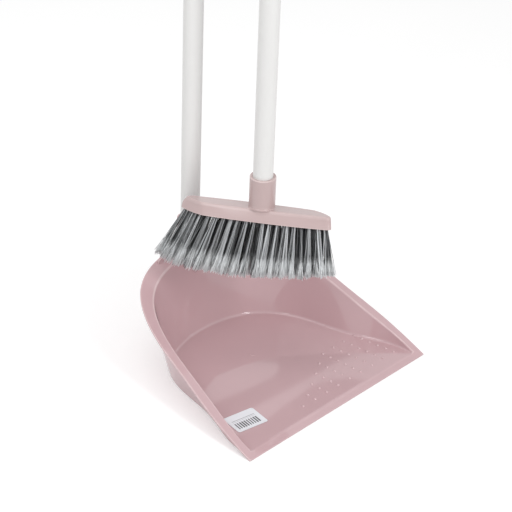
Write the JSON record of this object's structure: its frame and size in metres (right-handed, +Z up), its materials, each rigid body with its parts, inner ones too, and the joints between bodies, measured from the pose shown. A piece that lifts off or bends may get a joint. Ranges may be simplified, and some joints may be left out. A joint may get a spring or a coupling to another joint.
{
  "type": "dust pan and brush set",
  "caption": "Upright dust pan with a sloped rim and a tall tube handle, and a long-handled soft broom that hangs over the pan on a handle clip.",
  "frame": {"origin": "on the ground under the middle of the pan's floor", "axes": "+Z up along the handles, -Y out of the pan's mouth, X along the pan's lip"},
  "size_m": [0.252, 0.218, 0.8673],
  "materials": {
    "pink_plastic": "dusty pink moulded plastic, semi-gloss",
    "white_tube": "white coated thin steel tube",
    "bristle_grey": "mixed dark and light grey flagged filaments",
    "label_paper": "plain white paper, unprinted by name",
    "tip_plastic": "natural moulded plastic",
    "staple_wire": "flat drawn steel wire"
  },
  "bodies": {
    "pan": {"pan_body": "pink_plastic", "pan_label": "label_paper", "pan_tube": "white_tube", "pan_tip": "tip_plastic", "pan_cap": "pink_plastic"},
    "clip": {"handle_clip": "pink_plastic"},
    "broom": {"broom_head": "pink_plastic", "bristles_front": "bristle_grey", "bristles_mid_front": "bristle_grey", "bristles_mid_back": "bristle_grey", "bristles_back": "bristle_grey", "tuft_staples": "staple_wire", "broom_tube": "white_tube", "broom_tip": "tip_plastic", "broom_grip": "pink_plastic"}
  },
  "joints": [
    {"name": "clip_slide", "type": "slide", "parent": "pan", "child": "clip", "axis": [0, 0, 1], "range_m": [0, 0.125]},
    {"name": "broom_swivel", "type": "hinge", "parent": "clip", "child": "broom", "pos_m": [0, 0.0195, 0.703], "axis": [0, 0, 1], "range_deg": [-8, 296]}
  ]
}
